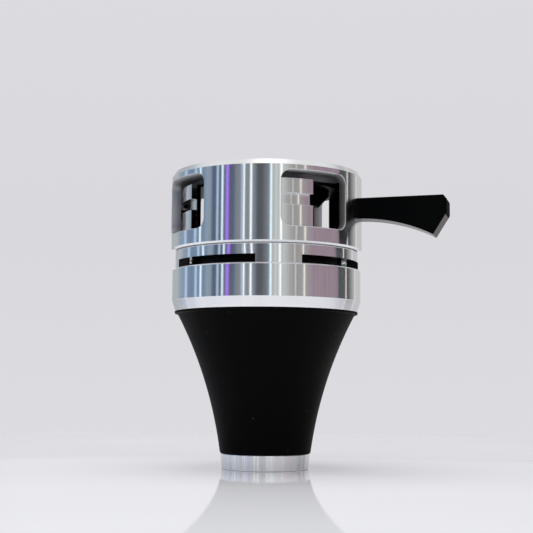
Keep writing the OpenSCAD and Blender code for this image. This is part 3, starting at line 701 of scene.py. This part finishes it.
# what the metal mirrors, by the angle from the camera's side, in degrees
ROOM = [
    (-180, WALL), (-168, WALL), (-163, HAZE), (-136, HAZE), (-124, SKY), (-113, SKY), (-107, BLUE),
    (-79, BLUE), (-75, SKY), (-71, SKY), (-66, INK), (-40, INK), (-36, SLATE), (-14.5, SLATE),
    (-11, DEEP), (-6, DEEP), (3, SLATE), (9, PALE), (22, PALE), (31, STONE), (50, STONE),
    (56, MAUVE), (93, MAUVE), (97, DEEP), (116, DEEP), (124, STONE), (140, LINEN), (162, LINEN),
    (169, WALL), (180, WALL),
]
COOL = rgb(160, 182, 206)
ICE = rgb(220, 238, 246)
VIOLET = rgb(150, 112, 214)
WHITE = rgb(244, 250, 249)
WARM = rgb(236, 224, 216)
LAMP_GAIN = 1.2
# narrow lamps in that room: angle, width and colour
LAMPS = [
    (-112.5, 5.5, COOL), (-93.5, 4.5, COOL), (-85.3, 3.0, ICE), (-60.2, 3.2, COOL),
    (-53.8, 2.6, ICE), (-47.5, 4.4, VIOLET), (-29.6, 1.4, COOL), (-26.9, 2.0, WHITE),
    (-18.6, 2.4, WHITE), (4.8, 2.6, ICE), (10.8, 1.8, PALE), (16.2, 2.2, WHITE),
    (34.5, 1.6, PALE), (45.5, 2.0, WARM), (110.8, 2.0, WARM), (134.0, 5.0, LINEN),
]


def make_world():
    """Pale wall for the camera, an even soft light, and a room of strips for mirror reflections."""
    world = bpy.data.worlds.new("room")
    bpy.context.scene.world = world
    world.use_nodes = True
    n = Nodes(world.node_tree)
    direction = n.add("TexCoord").outputs["Generated"]
    turned = n.add("VectorRotate", {"Vector": direction, "Angle": math.radians(-VIEW_AZ)},
                   rotation_type="Z_AXIS").outputs[0]
    x, y, z = n.add("SeparateXYZ", {0: turned}).outputs
    angle = n.math("DEGREES", n.math("ARCTAN2", x, n.math("MULTIPLY", y, -1.0)))
    height = n.math("DEGREES", n.math("ARCSINE", z))
    colour = n.ramp(n.scale(angle, -180, 180), [((a + 180) / 360, c) for a, c in ROOM])
    stripe = n.add("TexNoise", {"W": n.math("MULTIPLY", angle, 0.45), "Scale": 1.0, "Detail": 5.0,
                                "Roughness": 0.72}, noise_dimensions="1D").outputs[0]
    colour = n.mix(1.0, colour, n.ramp(stripe, [(0.3, (0.78,) * 3), (0.7, (1.16,) * 3)]), "MULTIPLY")
    behind = n.scale(n.math("ABSOLUTE", angle), 158, 168, smooth=True)
    colour = n.mix(behind, colour, (*WALL, 1))
    for at, width, lamp in LAMPS:
        away = n.math("ABSOLUTE", n.math("SUBTRACT", angle, at))
        colour = n.mix(n.scale(away, width * 0.2, width * 0.7, 1.0, 0.0, smooth=True),
                       colour, (*[c * LAMP_GAIN for c in lamp], 1))
    # overhead it is white, and brightest on the camera's side
    from_front = n.math("ABSOLUTE", n.math("SUBTRACT", angle, 6))
    overhead = n.scale(from_front, 10, 60, 1.15, 0.74, smooth=True)
    colour = n.mix(n.scale(height, 28, 48, smooth=True), colour, overhead)
    wall = n.ramp(n.scale(height, -10, 25), [(0.0, rgb(223, 222, 227)), (0.5, rgb(217, 216, 221)),
                                             (1.0, rgb(221, 220, 225))])
    path = n.add("LightPath")
    room = n.add("Background", {"Color": colour, "Strength": 1.07}).outputs[0]
    soft = n.add("Background", {"Color": (0.98, 0.98, 1.0, 1), "Strength": 0.5}).outputs[0]
    seen = n.add("Background", {"Color": wall, "Strength": 1.0}).outputs[0]
    lit = n.add("MixShader", {0: path.outputs["Is Glossy Ray"], 1: soft, 2: room}).outputs[0]
    final = n.add("MixShader", {0: path.outputs["Is Camera Ray"], 1: lit, 2: seen}).outputs[0]
    n.add("OutputWorld", {"Surface": final})


def make_light(name, place, aim, size, power):
    """A square lamp that lights the scene, and isn't seen itself or in mirror reflections."""
    data = bpy.data.lights.new(name, "AREA")
    data.size = size
    data.energy = power
    lamp = bpy.data.objects.new(name, data)
    bpy.context.scene.collection.objects.link(lamp)
    place, aim = Vector(place), Vector(aim)
    lamp.matrix_world = (Matrix.Translation(place)
                         @ (aim - place).to_track_quat("-Z", "Y").to_matrix().to_4x4())
    lamp.visible_camera = False
    lamp.visible_glossy = False


make_camera()
make_table()
make_world()
make_light("softbox", (-0.05, -0.12, 0.85), (0, 0, 0), 0.7, 4.6)
bpy.context.scene.view_settings.view_transform = "Standard"
